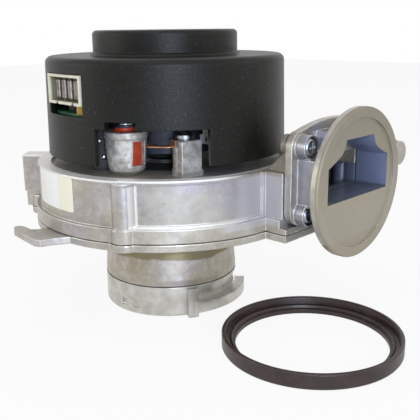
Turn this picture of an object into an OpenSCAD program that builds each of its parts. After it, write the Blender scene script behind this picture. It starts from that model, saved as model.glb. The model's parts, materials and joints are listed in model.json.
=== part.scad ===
// Premix boiler fan: die-cast scroll housing, closed impeller, electronic motor under a moulded cap,
// bayonet inlet collar, round outlet adapter and a loose inlet seal.
// The origin is on the motor axis at the foot of the inlet collar. +Z runs up the motor axis
// and +X leaves the outlet face.

/* [Motor cap] */
// Outer radius of the cap at its lower edge
cap_r = 56; // [54.5:0.5:58]
// Wall thickness of the cap
cap_wall = 2.4; // [1.8:0.2:3]
// Height of the cap's lower edge
cap_z = 75.3; // [74.5:0.1:76]
// Height of the cap's flat shoulder
shoulder_z = 118.7; // [118:0.1:121]
// Height of the hub's top, which is the height of the whole fan
hub_top_z = 129.6; // [129:0.1:134]
// Radius of the hub
hub_r = 33.5; // [31:0.5:36]

/* [Scroll housing] */
// Outer radius of the scroll at its tongue
scroll_r = 61.3; // [61:0.1:63]
// Growth of the scroll's radius at each quarter turn
scroll_step = 1.5; // [1:0.1:2]
// Wall thickness of the castings
wall = 3; // [2.5:0.1:3.2]
// Height of the joint between the lower cover and the housing
split_z = 45; // [44:0.5:46]
// Height of the housing's flat top
deck_z = 71; // [70.5:0.1:71.5]
// Thickness of the lower cover's plate
cover_t = 3; // [3:0.2:4]

/* [Inlet] */
// Radius of the inlet bore
inlet_r = 28; // [27:0.5:29]
// Outer radius of the bayonet ring
collar_r = 32.4; // [32:0.1:33]
// Height of the bayonet ring
collar_h = 14.3; // [13:0.1:16]

/* [Outlet] */
// Radius of the outlet disc
disc_r = 33; // [32:0.5:35]
// Distance of the outlet face from the motor axis
disc_x = 88.5; // [87:0.5:92]
// Height of the outlet disc's centre
disc_z = 64.4; // [64:0.1:67]
// Sideways place of the outlet disc's centre
disc_y = 31; // [30:0.5:32]

/* [Impeller] */
// Outer radius of the impeller
wheel_r = 49; // [45:0.5:51]
// Number of blades
blades = 14; // [9:1:18]
// Thickness of a blade
blade_t = 1.2; // [0.8:0.1:1.6]

/* [Motor] */
// Radius of the shaft
shaft_r = 4; // [4:0.1:4.2]
// Air gap between the magnets and the stator
air_gap = 0.7; // [0.5:0.1:0.9]
// Number of stator teeth
teeth = 6; // [6:3:9]

/* [Loose seal] */
// Outer radius of the seal ring
seal_r = 38.1; // [37:0.1:40]
// Height of the seal ring
seal_h = 6.5; // [5:0.5:8]

/* [Hidden] */
$fn = 96;

e = 0.01; // overlap of a cut past a face
gasket_t = 0.4;
deck_recess = 1.5; // depth of the round recess under the cap
recess_r = 55.5;
seal_bore = 7; // hole in the deck that holds the shaft seal
roof_z = deck_z - deck_recess - 2.5; // inside top of the scroll
ledge_z = split_z + 6.3; // top of the ledge round the housing's foot
ledge_out = 2;
tongue_y = -1; // near wall of the outlet duct
duct_y = 63; // far wall of the outlet duct at the flange
flange_x = 70.4; // end face of the housing's duct
flange_t = 3.4;
seam = 0.6; // thickness of the outlet gasket
screw_seat = 6.8; // seat of the adapter screws past the flange's face
flange_z = [48.2, 88.5];
flange_arch = 3.5; // rise of the adapter flange's top edge
lip_x = 74; // end of the rim's lip under the flange
lip_z = 47.7; // top of that lip
disc_t = 3.6;
ear = [68.4, 72.1]; // centre of the ear beside the disc, [y, z]
ear_r = 5.6;
screw_pilot = 1.7; // hole for a cover screw
cover_hole = 2.2; // clearance hole in the cover
screw_land = 4; // material left round each cover screw inside the wall
flange_y = [-0.5, 62.5];

// The outlet's opening is symmetric about port_y
port_y = disc_y;
port_w = 48;
port_floor = 58.5;
port_eave = 73.8;
port_top = 84.4;
port_top_w = 22;
// Adapter screws: [y, z]
adapter_points = [[6.6, 82.2], [55.4, 82.2], [6.6, 53.4], [55.4, 53.4]];

// Cover screws, on the housing's wall: [x, y]
cover_points = [
    polar(59.2, -61.5), polar(61.4, -143), polar(61.2, 153), polar(62, 104), [61, 3.6], [61, 58]];
boss_r = [5.2, 4, 4, 4, 4, 4]; // bosses on the wall that hold them
lobe_r = [6.2, 8.2, 5.6, 5.6, 5.6, 5.6]; // lobes of the rim round them
cover_seat = 1.7; // depth of the screws' counterbores

// Isolators carry the motor at three points
iso_r = 38.4;
iso_angles = [-71, 49, 169];
cup_top = 88.2;
cup_bore = 6.4;
cup_floor = 73;
arm_z = 89.8; // underside of the motor bracket's arms
arm_t = 1.2;
sleeve_r = 2.5;
washer_t = 0.5; // collar of the sleeve, under the screw

post = [34.4, -22.4]; // centre of the earth post
post_top = 84.6;
post_turn = -11.5; // direction its flat face looks

// Stack of the motor
brg_r = 11;
brg_w = 7;
brg_race = 7.5;
ball_r = 1.95;
lower_brg_z = 74;
upper_brg_z = 112.3;
bracket_z = 76.6;
upper_top = 113.6; // top of the upper bracket's plate
stack_z = [86, 106];
stator_r = 28.5;
yoke_r = 23.5;
bore_r = 14.2;
magnet_r = bore_r - air_gap;
magnet_t = 3;
tooth_w = 6.5;
bolt_r = 26;
bolt_angles = [-11, 109, 229];
pot_r = 30.4; // outside of the motor bracket's wall
pillar_r = 34.6;
board_z = 94;
board_t = 1.6;
board_r = [31.8, 52.2];

nozzle_seat_r = inlet_r + 0.6;
nozzle_z = 38;

// Impeller heights: shroud, blades, backplate
shroud_z = 49.6;
sheet_t = 1.4;
plate_z = 63.4;
eye_r = 28.2;
hub_z = 56; // foot of the impeller's hub, where the shaft steps down
shaft_top = 119.8;

window_w = 27.4; // connector window
window_z = [94.9, 112.3];
notch = [-75.5, -25]; // angles of the wiring notch
notch_z = 90.5;
header_a = -96; // direction the header faces
header_w = 26.4;
header_z = [99.4, 112];
header_r = 54.6; // front face of the header
poles = 5;
mouth = 4.6; // depth of the connector in front of its ribs
pitch = 5;

seal_at = [88.2, -2.5];

function polar(r, a) = [r * cos(a), r * sin(a)];
function arc_points(r, a0, a1, n) = [for (i = [0 : n]) polar(r, a0 + (a1 - a0) * i / n)];

// Ring standing on z0
module ring(ro, ri, z0, z1) {
    translate([0, 0, z0]) difference() {
        cylinder(r = ro, h = z1 - z0);
        translate([0, 0, -1]) cylinder(r = ri, h = z1 - z0 + 2);
    }
}

module rod(r, z0, z1) {
    translate([0, 0, z0]) cylinder(r = r, h = z1 - z0);
}

// Wedge of the plan between two angles, out to radius r
module wedge_2d(r, a0, a1) {
    polygon(concat([[0, 0]], arc_points(r / cos((a1 - a0) / 12), a0, a1, 6)));
}

module wedge(r, a0, a1, z0, z1) {
    translate([0, 0, z0]) linear_extrude(z1 - z0) wedge_2d(r, a0, a1);
}

// Prism along X from a profile drawn in (y, z)
module along_x(x0, x1) {
    translate([x0, 0, 0]) rotate([90, 0, 90]) linear_extrude(x1 - x0) children();
}

// Prism along Y from a profile drawn in (x, z)
module along_y(y0, y1) {
    translate([0, y1, 0]) rotate([90, 0, 0]) linear_extrude(y1 - y0) children();
}

module rounded_rect(x0, y0, x1, y1, r) {
    translate([x0 + r, y0]) square([x1 - x0 - 2 * r, y1 - y0]);
    translate([x0, y0 + r]) square([x1 - x0, y1 - y0 - 2 * r]);
    for (x = [x0 + r, x1 - r], y = [y0 + r, y1 - r]) translate([x, y]) circle(r);
}

// Plan of the scroll: three quarter turns of a four-centre spiral and the outlet duct
module scroll_2d(out = 0) {
    big = 90;
    s = scroll_step;
    intersection() {
        circle(scroll_r + out);
        translate([0, -big]) square([big, big + 5]);
    }
    intersection() {
        translate([0, s]) circle(scroll_r + s + out);
        translate([-big, -big]) square([big, big + s]);
    }
    intersection() {
        translate([s, s]) circle(scroll_r + 2 * s + out);
        translate([-big, s]) square([big + s, big]);
    }
    polygon([
        [0, tongue_y - out], [flange_x, tongue_y - out], [flange_x, duct_y + out],
        [s, scroll_r + 3 * s + out], [0, scroll_r + 2 * s], [-20, 20]]);
}

// Opening of the outlet, drawn in (y, z)
module port_2d(out = 0) {
    half = port_w / 2 + out;
    top_half = port_top_w / 2 + out;
    shoulder = [[half, port_eave + out], [half - 5.8, port_eave + 2.6 + out],
        [top_half + 3, port_eave + 4.8 + out], [top_half + 1, port_eave + 7.2 + out],
        [top_half, port_top + out]];
    mirrored = [for (i = [len(shoulder) - 1 : -1 : 0]) [-shoulder[i][0], shoulder[i][1]]];
    translate([port_y, 0]) polygon(concat(
        [[-half, port_floor - out], [half, port_floor - out]], shoulder, mirrored));
}

// Pan head with a cross recess, its seat on z = 0
module pan_head(r, h) {
    difference() {
        union() {
            cylinder(r = r, h = h * 0.55);
            translate([0, 0, h * 0.55]) cylinder(r1 = r, r2 = r * 0.72, h = h * 0.45);
        }
        translate([0, 0, h * 0.45]) for (a = [0, 90]) rotate(a)
            translate([-r * 0.55, -r * 0.12, 0]) cube([r * 1.1, r * 0.24, h]);
    }
}

module at_isolators() {
    for (a = iso_angles) rotate(a) translate([iso_r, 0, 0]) children();
}

module isolator_cup() {
    foot_z = deck_z - deck_recess - 0.5;
    difference() {
        rotate_extrude() polygon([[0, foot_z], [5.4, foot_z], [5.4, foot_z + 0.6], [6.9, foot_z + 1.2],
            [7.9, foot_z + 2.4], [8.2, foot_z + 4], [9.1, cup_top - 3.4], [9.5, cup_top - 2.4],
            [9.6, cup_top - 0.4], [9.2, cup_top], [0, cup_top]]);
        rod(cup_bore, cup_floor, cup_top + 1);
        rod(1.25, 69.2, cup_floor + 1);
        // side window that shows the rubber
        rotate(72) translate([0, -3.3, cup_floor + 0.6]) cube([12, 6.6, 10.6]);
    }
}

module post_2d(out = 0) {
    circle(5.3 + out);
    translate([0, -4.95 - out]) square([5.4 + out, 9.9 + 2 * out]);
}

module earth_post() {
    rotate(post_turn) {
        translate([0, 0, deck_z - 2]) linear_extrude(post_top - deck_z + 2) post_2d();
        translate([0, 0, deck_z - 2]) linear_extrude(3) post_2d(0.4);
    }
}

// Rim at the joint of the castings, with a lobe round each screw
module rim_2d(out) {
    scroll_2d(ledge_out + out);
    for (i = [0 : len(cover_points) - 1]) translate(cover_points[i]) circle(lobe_r[i] + out);
}

// Lip of the rim that runs on under the adapter's flange
module lip_2d(out) {
    translate([flange_x - 1, tongue_y - ledge_out - out])
        square([lip_x - flange_x + 1, duct_y - tongue_y + 2 * (ledge_out + out)]);
}

module cover_bosses() {
    for (i = [0 : len(cover_points) - 1]) translate(cover_points[i])
        rod(boss_r[i], split_z + gasket_t, deck_z - 0.7);
}

// Lining that narrows the scroll's end to the outlet's opening: near wall, far wall, floor
module duct_lining() {
    near = port_y - port_w / 2;
    far = port_y + port_w / 2;
    z0 = split_z + gasket_t;
    difference() {
        union() {
            translate([0, 0, z0]) linear_extrude(roof_z + 1 - z0) {
                polygon([[53, tongue_y + 1], [66.5, near], [flange_x, near], [flange_x, tongue_y + 1]]);
                polygon([[30, duct_y], [66.5, far], [flange_x, far], [flange_x, duct_y - 1], [40, duct_y]]);
            }
            along_y(tongue_y + 1, duct_y - 1)
                polygon([[55, z0], [67, port_floor], [flange_x, port_floor], [flange_x, z0]]);
        }
        adapter_holes();
        for (p = cover_points) translate(p) rod(screw_pilot, z0 - 1, split_z + 12);
    }
}

module at_adapter_points() {
    for (p = adapter_points) translate([flange_x, p[0], p[1]]) rotate([0, 90, 0]) children();
}

module adapter_holes() {
    at_adapter_points() rod(1.95, -6, 1);
}

module upper_housing() {
    color("silver") difference() {
        union() {
            translate([0, 0, split_z + gasket_t]) linear_extrude(deck_z - split_z - gasket_t) scroll_2d();
            translate([0, 0, split_z + gasket_t]) linear_extrude(ledge_z - split_z - gasket_t) rim_2d(0);
            translate([0, 0, split_z + gasket_t]) linear_extrude(lip_z - split_z - gasket_t) lip_2d(0);
            cover_bosses();
            left_lug();
            duct_roof(0);
            at_adapter_points() rod(4.6, -4, 0);
        }
        // scroll and duct inside
        translate([0, 0, split_z - 1]) linear_extrude(roof_z - split_z + 1) difference() {
            union() {
                scroll_2d(-wall);
                translate([flange_x - 5, tongue_y + wall]) square([5, duct_y - tongue_y - 2 * wall]);
            }
            for (p = cover_points) translate(p) circle(screw_land);
        }
        duct_roof(wall);
        // wall panel recessed between the front boss and the tongue
        difference() {
            ring(80, 60.2, ledge_z + 1, deck_z + 1);
            wedge(120, -2.5, 160, 0, 100);
            wedge(120, 159, 297, 0, 100);
            cover_bosses();
            left_lug();
            duct_roof(0);
        }
        for (p = cover_points) translate(p) rod(screw_pilot, split_z - 1, split_z + 12);
        ring(recess_r, 14, deck_z - deck_recess, deck_z + 1);
        rod(seal_bore, roof_z - 1, deck_z + 1);
        adapter_holes();
    }
    color("silver") {
        duct_lining();
        at_isolators() isolator_cup();
        translate(post) difference() {
            earth_post();
            rod(1.6, post_top - 9, post_top + 1);
        }
    }
}

// Lug on the outer wall: a proud head over a narrower foot
module left_lug() {
    head_z = 52.8;
    rotate(-143) {
        translate([56, -4.6, head_z]) cube([15.9, 9.2, deck_z - head_z]);
        translate([56, -4, split_z + gasket_t]) cube([15.2, 8, 8]);
    }
}

// Roof of the outlet duct, rising to the flange: the outside for t = 0, the inside for t = wall
module duct_roof(t) {
    x1 = flange_x + (t > 0 ? 1 : 0);
    z0 = roof_z - 1;
    side = port_w / 2 + (t > 0 ? 0 : wall);
    y = [port_y - side, port_y + side];
    along_y(y[0], y[1]) polygon([
        [58.6 + t / 3, z0], [58.6 + t / 3, deck_z - t], [x1, 82.4 - 2.5 * t], [x1, z0]]);
    // hump over the middle of the port
    half = port_top_w / 2 + (t > 0 ? 0 : wall + 1);
    along_y(port_y - half, port_y + half) polygon([
        [51 + t, z0], [51 + t, deck_z - 1 - t], [55.3 + t, 74.6 - t], [66 + 0.4 * t, 87.6 - t],
        [x1, 87.6 - t], [x1, z0]]);
}

module lower_cover() {
    base = split_z - cover_t;
    color("silver") difference() {
        union() {
            translate([0, 0, base]) linear_extrude(cover_t) {
                rim_2d(0.2);
                lip_2d(0.2);
                mounting_arm_2d();
            }
            rotate_extrude() polygon([[inlet_r - 2, collar_h + 0.3], [32.1, collar_h + 0.3], [32.3, 17.5],
                [32, 21], [31.2, 30], [31, base - 3.5], [32, base - 1.5], [34.5, base + 0.2],
                [inlet_r - 2, base + 1]]);
            // ribs under the plate
            for (i = [0 : 5]) rotate(30 + 60 * i) along_y(-1.3, 1.3)
                polygon([[29, 34], [31, 34], [56, base - 1.5], [56, base + 0.5], [29, base + 0.5]]);
        }
        rod(inlet_r, 10, split_z + 1);
        rod(nozzle_seat_r, nozzle_z, split_z + 1);
        for (p = cover_points) translate(p) {
            rod(cover_hole, 30, split_z + 1);
            rod(4.3, 30, base + cover_seat);
        }
    }
}

// Hooked arm in the plate's plane
module mounting_arm_2d() {
    polygon([[-14, -56], [-14.7, -65.8], [-17.1, -68.2], [-23.6, -67.6], [-26.4, -68.6], [-26.7, -70.8],
        [-23.6, -72.8], [-3.2, -75.8], [-0.2, -74.8], [1.8, -69.4], [5.6, -62.8], [10, -56]]);
}

module bayonet_ring() {
    color("silver") difference() {
        union() {
            rotate_extrude() polygon([[inlet_r, 0], [collar_r - 0.8, 0], [collar_r, 1], [collar_r, collar_h],
                [inlet_r, collar_h]]);
            // low ramp and tall stop of the bayonet
            intersection() {
                ring(36.8, collar_r - 1.4, 2.4, 8);
                wedge(60, -27, 45, -1, 20);
            }
            intersection() {
                ring(35.6, collar_r - 1.6, 0, collar_h - 0.3);
                wedge(60, -31, -23, -1, 20);
            }
        }
        // relief above the ramp, and a small pocket in front
        intersection() {
            ring(40, collar_r - 1.2, 7.3, collar_h - 0.8);
            wedge(60, -22.5, 50, 0, 20);
        }
        intersection() {
            ring(collar_r + 1, collar_r - 1, 3.2, 6.8);
            wedge(60, -90, -72, 0, 20);
        }
    }
}

module inlet_nozzle() {
    color("dimgray") rotate_extrude() polygon(concat(
        [[nozzle_seat_r - 0.05, nozzle_z], [nozzle_seat_r - 0.05, 43.2]],
        [for (i = [0 : 5]) [26.8 - 0.5 * sin(90 * i / 5), 44.4 + 5.4 * i / 5]],
        [[25.2, 49.8], [25.2, 46.5]],
        [for (i = [0 : 5]) [25.4 + 1.6 * sin(90 * i / 5), 44.5 - 5 * i / 5]]));
}

module housing_gasket() {
    color("black") translate([0, 0, split_z]) linear_extrude(gasket_t) difference() {
        scroll_2d(1.2);
        difference() {
            scroll_2d(-wall);
            for (p = cover_points) translate(p) circle(screw_land);
        }
        for (p = cover_points) translate(p) circle(cover_hole);
    }
}

module cover_screws() {
    seat = split_z - cover_t + cover_seat;
    color("gainsboro") for (p = cover_points) translate(p) {
        translate([0, 0, seat]) rotate([180, 0, 0]) pan_head(3.9, 2);
        rod(1.65, seat - e, split_z + 10);
    }
}

// Outline of the adapter's flange, in (y, z): a rounded plate with an arched top
module flange_2d() {
    mid = (flange_y[0] + flange_y[1]) / 2;
    half = 25;
    arc_r = (half * half + flange_arch * flange_arch) / 2 / flange_arch;
    rounded_rect(flange_y[0], flange_z[0], flange_y[1], flange_z[1], 6.6);
    intersection() {
        translate([mid, flange_z[1] + flange_arch - arc_r]) circle(arc_r);
        translate([mid - half, flange_z[1] - 1]) square([2 * half, 10]);
    }
}

module outlet_gasket() {
    color("black") along_x(flange_x, flange_x + seam) difference() {
        rounded_rect(flange_y[0] + 1, flange_z[0] + 1, flange_y[1] - 1, flange_z[1] - 1, 4);
        port_2d(0.4);
        for (p = adapter_points) translate(p) circle(2.7);
    }
}

module outlet_adapter() {
    color("silver") difference() {
        union() {
            along_x(flange_x + seam, flange_x + seam + flange_t) flange_2d();
            at_adapter_points() rod(5.2, 1, 9);
            along_x(flange_x + 2, disc_x - 4) port_2d(3.2);
            // horn that opens to the disc
            translate([0, disc_y, disc_z]) rotate([0, 90, 0]) rotate_extrude() polygon([
                [0, lip_x + 0.3], [23.2, lip_x + 0.3], [23.6, 76], [24.4, 78], [25.8, 80.2], [27.6, 82],
                [30, 83.6], [disc_r, disc_x - disc_t], [disc_r, disc_x - 2], [0, disc_x - 2]]);
            translate([0, disc_y, disc_z]) rotate([0, 90, 0]) {
                rod(disc_r, disc_x - disc_t, disc_x - 0.5);
                translate([0, 0, disc_x - 0.5]) cylinder(r1 = disc_r, r2 = disc_r - 0.5, h = 0.5);
            }
            // ear beside the disc
            translate([disc_x - 8.5, ear[0], ear[1]]) rotate([0, 90, 0]) cylinder(r = ear_r, h = 6.5);
            along_x(disc_x - 7, disc_x - 3) polygon([
                [52, 66], [ear[0], ear[1] - ear_r + 0.1], [ear[0], ear[1] + ear_r - 0.1], [52, 84]]);
        }
        along_x(flange_x - 1, disc_x + 1) port_2d();
        // face set back inside the rim
        translate([0, disc_y, disc_z]) rotate([0, 90, 0]) rod(28.3, disc_x - 0.9, disc_x + 1);
        at_adapter_points() {
            rod(2.6, -1, 8);
            rod(4.5, screw_seat, 12);
        }
        // blind hole in the ear's back
        translate([disc_x - 9, ear[0], ear[1]]) rotate([0, 90, 0]) cylinder(r = 2.1, h = 5);
    }
}

module adapter_screws() {
    color("gainsboro") at_adapter_points() {
        translate([0, 0, screw_seat]) pan_head(4.1, 2.2);
        rod(1.85, -3.4, screw_seat + e);
    }
}

module shaft_seal() {
    color("black") difference() {
        union() {
            rod(seal_bore - 0.05, roof_z, deck_z + 0.4);
            rod(9, deck_z + 0.05, deck_z + 1.3);
        }
        rod(shaft_r + 0.08, 60, 80);
    }
}

module isolator_grommets() {
    r = cup_bore - 0.05;
    color("orangered") at_isolators() rotate_extrude() polygon([
        [sleeve_r, cup_floor + 0.05], [r, cup_floor + 0.05], [r, cup_top - 0.5], [5, cup_top + 0.3],
        [4.7, arm_z], [3.6, arm_z], [3.6, arm_z + arm_t], [sleeve_r, arm_z + arm_t]]);
}

module isolator_sleeves() {
    color("gainsboro") at_isolators() {
        ring(sleeve_r, 1.7, cup_floor + 0.05, arm_z + arm_t);
        ring(5, 1.7, arm_z + arm_t, arm_z + arm_t + washer_t);
    }
}

module isolator_screws() {
    z = arm_z + arm_t + washer_t;
    color("gainsboro") at_isolators() {
        translate([0, 0, z]) pan_head(4.2, 2.1);
        rod(1.2, 69.6, z + e);
    }
}

// Strap from under the screw, down beside the post, out and back
module earth_strap() {
    drop = 2.4;
    half = 2.2;
    t = 0.5;
    out = 5.6;
    low = post_top - drop;
    run = 7.1;
    color("chocolate") translate([post[0], post[1], 0]) rotate(post_turn - 90) difference() {
        union() {
            rod(2 * half, post_top, post_top + t);
            translate([0, -half, post_top]) cube([out + t, 2 * half, t]);
            translate([out, -half, low]) cube([t, 2 * half, drop + t]);
            translate([out, -half, low]) cube([half + t, 2 * half, t]);
            translate([out + half + t, 0, low]) linear_extrude(t) {
                circle(half);
                rotate(-43.5) {
                    translate([0, -half]) square([run, 2 * half]);
                    translate([run, 0]) circle(half);
                    translate([run, 0]) rotate(-85) translate([0, -half]) square([5, 2 * half]);
                }
            }
        }
        rod(2.1, post_top - 1, post_top + 1);
    }
}

module earth_screw() {
    color("gainsboro") translate([post[0], post[1], post_top + 0.5]) {
        pan_head(4, 3);
        rod(1.55, -8.5, e);
    }
}

module motor_bracket() {
    color("midnightblue") difference() {
        union() {
            rod(14, 73.4, 81.6);
            rod(yoke_r + 2, bracket_z, bracket_z + 2.4);
            difference() {
                ring(pot_r, yoke_r + 1, bracket_z, arm_z + arm_t / 2);
                rod(stator_r + 0.1, stack_z[0], 100);
                at_isolators() rod(10.2, 70, 100);
            }
            translate([0, 0, arm_z]) linear_extrude(arm_t) difference() {
                union() {
                    circle(pot_r + 0.6);
                    at_isolators() {
                        circle(5.4);
                        translate([-9.2, -5.4]) square([9.2, 10.8]);
                    }
                    for (a = bolt_angles) rotate(a) {
                        translate([pillar_r, 0]) circle(3.6);
                        translate([29.5, -3.6]) square([5, 7.2]);
                    }
                }
                circle(stator_r + 0.4);
            }
        }
        rod(brg_r, lower_brg_z, 90);
        rod(9, 70, 90);
        at_isolators() rod(3.65, 70, 95);
        for (a = bolt_angles) rotate(a) {
            translate([bolt_r, 0, 0]) rod(1.6, 74, 90);
            translate([pillar_r, 0, 0]) rod(1.6, 70, 95);
        }
        for (i = [0 : 5]) rotate(19 + 60 * i) translate([18.6, 0, 0]) rod(3.2, 70, 79.2);
    }
}

module bearing_race(ro, ri, z0) {
    translate([0, 0, z0]) rotate_extrude() difference() {
        translate([ri, 0]) square([ro - ri, brg_w]);
        translate([brg_race, brg_w / 2]) circle(ball_r + 0.1);
    }
}

module bearing_cage(z0) {
    balls = 7;
    translate([0, 0, z0 + brg_w / 2]) {
        for (i = [0 : balls - 1]) rotate(360 * i / balls) translate([brg_race, 0, 0]) sphere(ball_r);
        ring(brg_race + 0.7, brg_race - 0.7, -0.9, 0.9);
    }
}

module lower_bearing_outer() { color("gray") bearing_race(brg_r, 9, lower_brg_z); }
module upper_bearing_outer() { color("gray") bearing_race(brg_r, 9, upper_brg_z); }
module lower_bearing_inner() { color("gray") bearing_race(6, shaft_r, lower_brg_z); }
module upper_bearing_inner() { color("gray") bearing_race(6, shaft_r, upper_brg_z); }
module lower_bearing_cage() { color("goldenrod") bearing_cage(lower_brg_z); }
module upper_bearing_cage() { color("goldenrod") bearing_cage(upper_brg_z); }

module tooth_2d(w) {
    translate([bore_r + 1, -w / 2]) square([yoke_r - bore_r, w]);
}

module stator_core() {
    shoe = 360 / teeth / 2 - 5;
    color("dimgray") translate([0, 0, stack_z[0]]) linear_extrude(stack_z[1] - stack_z[0]) difference() {
        union() {
            difference() {
                circle(stator_r);
                circle(yoke_r);
            }
            for (i = [0 : teeth - 1]) rotate(360 * i / teeth) {
                tooth_2d(tooth_w);
                intersection() {
                    circle(bore_r + 2);
                    wedge_2d(40, -shoe, shoe);
                }
            }
        }
        circle(bore_r);
        for (a = bolt_angles) translate(polar(bolt_r, a)) circle(1.6);
    }
}

// Rectangular tube round a tooth
module tooth_tube(r0, r1, w_out, w_in, over_out, over_in) {
    z0 = stack_z[0];
    z1 = stack_z[1];
    for (i = [0 : teeth - 1]) rotate(360 * i / teeth) difference() {
        translate([r0, -w_out / 2, z0 - over_out]) cube([r1 - r0, w_out, z1 - z0 + 2 * over_out]);
        translate([r0 - 1, -w_in / 2, z0 - over_in]) cube([r1 - r0 + 2, w_in, z1 - z0 + 2 * over_in]);
    }
}

module slot_insulators() {
    color("ivory") tooth_tube(bore_r + 2.3, yoke_r - 0.4, tooth_w + 1.6, tooth_w + 0.04, 0.8, 0.02);
}

module stator_coils() {
    color("peru") tooth_tube(bore_r + 2.9, yoke_r - 1, tooth_w + 6, tooth_w + 1.64, 4, 0.82);
}

module upper_bracket() {
    base = 111;
    color("midnightblue") difference() {
        union() {
            rod(14, base, upper_brg_z + brg_w);
            rod(stator_r, base, upper_top);
            ring(stator_r, yoke_r + 1, stack_z[1], upper_top);
        }
        rod(brg_r, upper_brg_z, 130);
        rod(9, 100, 130);
        for (a = bolt_angles) rotate(a) translate([bolt_r, 0, 0]) rod(1.6, 100, 130);
        for (i = [0 : 5]) rotate(19 + 60 * i) translate([18.8, 0, 0]) rod(3.6, 108, 116);
    }
}

module motor_bolts() {
    color("gainsboro") for (a = bolt_angles) rotate(a) translate([bolt_r, 0, 0]) {
        rod(1.55, bracket_z + 0.5, upper_top + e);
        translate([0, 0, upper_top]) cylinder(r = 2.9, h = 1.9);
    }
}

module board_pillars() {
    color("dimgray") for (a = bolt_angles) rotate(a) translate([pillar_r, 0, 0]) {
        rod(2.8, arm_z + arm_t, board_z);
        rod(1.55, arm_z, arm_z + arm_t + e);
        rod(1.3, board_z - e, board_z + board_t + 1.2);
    }
}

module circuit_board() {
    color("darkgreen") difference() {
        ring(board_r[1], board_r[0], board_z, board_z + board_t);
        at_isolators() rod(7, 90, 100);
        for (a = bolt_angles) rotate(a) translate([pillar_r, 0, 0]) rod(1.35, 90, 100);
        at_header() for (i = [0 : poles - 1]) translate([-13.2, way_y(i), 0]) rod(0.7, 90, 100);
    }
}

// Middle of each of the connector's ways, sideways from its centre
function way_y(i) = (i - (poles - 1) / 2) * pitch;

module at_header() {
    rotate(header_a) translate([header_r, 0, 0]) children();
}

module control_header() {
    depth = 12;
    t = 1.2;
    zc = header_z[1] - header_z[0];
    color("ivory") at_header() difference() {
        union() {
            translate([-depth, -header_w / 2, header_z[0]]) cube([depth, header_w, zc]);
            for (y = [-header_w / 2 + 1, header_w / 2 - 3]) translate([-depth + 0.5, y, board_z + board_t])
                cube([2.6, 2, 5]);
        }
        for (i = [0 : poles - 1]) translate([-depth + 2, way_y(i) - 2.1, header_z[0] + t])
            cube([depth, 4.2, zc - 2 * t]);
        // mouth in front of the ribs, and two latch notches
        translate([-mouth, -header_w / 2 + t, header_z[0] + t])
            cube([mouth + 1, header_w - 2 * t, zc - 2 * t]);
        for (y = [-8, 5]) translate([-4, y, header_z[0] - 1]) cube([5, 3, 3]);
    }
}

module header_contacts() {
    color("gainsboro") at_header() for (i = [0 : poles - 1]) translate([0, way_y(i), 0]) {
        translate([-10.2, -1.2, 105.2]) cube([10 - mouth, 2.4, 0.8]);
        translate([-13.6, -0.4, 105.2]) cube([3.6, 0.8, 0.8]);
        translate([-13.6, -0.4, board_z - 1.4]) cube([0.8, 0.8, 13]);
    }
}

module filter_choke() {
    color("goldenrod") at_header() translate([-5, 8, board_z + board_t]) difference() {
        cylinder(r = 3.3, h = 3.4);
        translate([0, 0, -1]) cylinder(r = 1.8, h = 6);
    }
}

module capacitors() {
    r = 6.8;
    can_h = 17;
    color("darkslategray") for (a = [14, 34]) rotate(a) translate([44.9, 0, board_z + board_t]) {
        cylinder(r = r, h = can_h);
        translate([0, 0, can_h]) cylinder(r1 = r, r2 = r - 0.6, h = 0.6);
    }
}

module heat_sink() {
    fin_h = 15;
    color("silver") rotate(116.5) translate([44, -20, board_z + board_t]) {
        translate([-1, 0, 0]) cube([2, 40, fin_h]);
        for (y = [1, 7, 31, 37]) translate([1 - e, y, 0]) cube([3, 1.6, fin_h]);
    }
}

module power_transistors() {
    color("dimgray") rotate(116.5) for (y = [-14, 0, 14]) translate([38.6, y - 4.5, board_z + board_t + 1]) {
        translate([0.3, 0, 0]) cube([4, 9, 8.6]);
        translate([3, 0, 8.6 - e]) cube([1.3, 9, 5]);
    }
}

module driver_chip() {
    color("darkslategray") rotate(-155) translate([41.4, -5, board_z + board_t]) cube([7, 10, 1.6]);
}

module motor_cap() {
    top_r = cap_r - 0.8;
    w = cap_wall;
    color([0.16, 0.16, 0.17]) difference() {
        rotate_extrude() polygon(concat(
            [[cap_r, cap_z]],
            [for (i = [0 : 6]) [top_r - 3 + 3 * cos(15 * i), shoulder_z - 3 + 3 * sin(15 * i)]],
            [[hub_r + 1.6, shoulder_z], [hub_r + 1.1, shoulder_z + 1], [hub_r, shoulder_z + 1.4]],
            [for (i = [0 : 4]) [hub_r - 2 + 2 * cos(22.5 * i), hub_top_z - 2 + 2 * sin(22.5 * i)]],
            [[0, hub_top_z], [0, hub_top_z - w], [14.1, hub_top_z - w], [14.1, 118.2], [16, 118.2],
                [16, hub_top_z - w], [hub_r - w, hub_top_z - w], [hub_r - w, shoulder_z - w],
                [top_r - w - 1, shoulder_z - w], [top_r - w, shoulder_z - w - 1], [cap_r - w, cap_z]]));
        at_header() translate([-9, -window_w / 2, window_z[0]])
            cube([14, window_w, window_z[1] - window_z[0]]);
        wedge(80, notch[0], notch[1], cap_z - 1, notch_z);
        wedge(80, -70.5, -56.4, cap_z - 1, 93.7);
    }
}

module shaft() {
    color("gainsboro") {
        rod(shaft_r, hub_z, shaft_top);
        translate([0, 0, shaft_top - e]) cylinder(r1 = shaft_r, r2 = shaft_r - 0.8, h = 0.9);
        rod(2.95, 50, hub_z + e);
    }
}

module rotor_core() { color("dimgray") ring(magnet_r - magnet_t, shaft_r, stack_z[0], stack_z[1]); }

module rotor_magnets() {
    color("darkslategray") for (a = [0 : 90 : 270]) intersection() {
        ring(magnet_r, magnet_r - magnet_t, stack_z[0] + 0.5, stack_z[1] - 0.5);
        wedge(40, a - 40, a + 40, 80, 110);
    }
}

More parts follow.
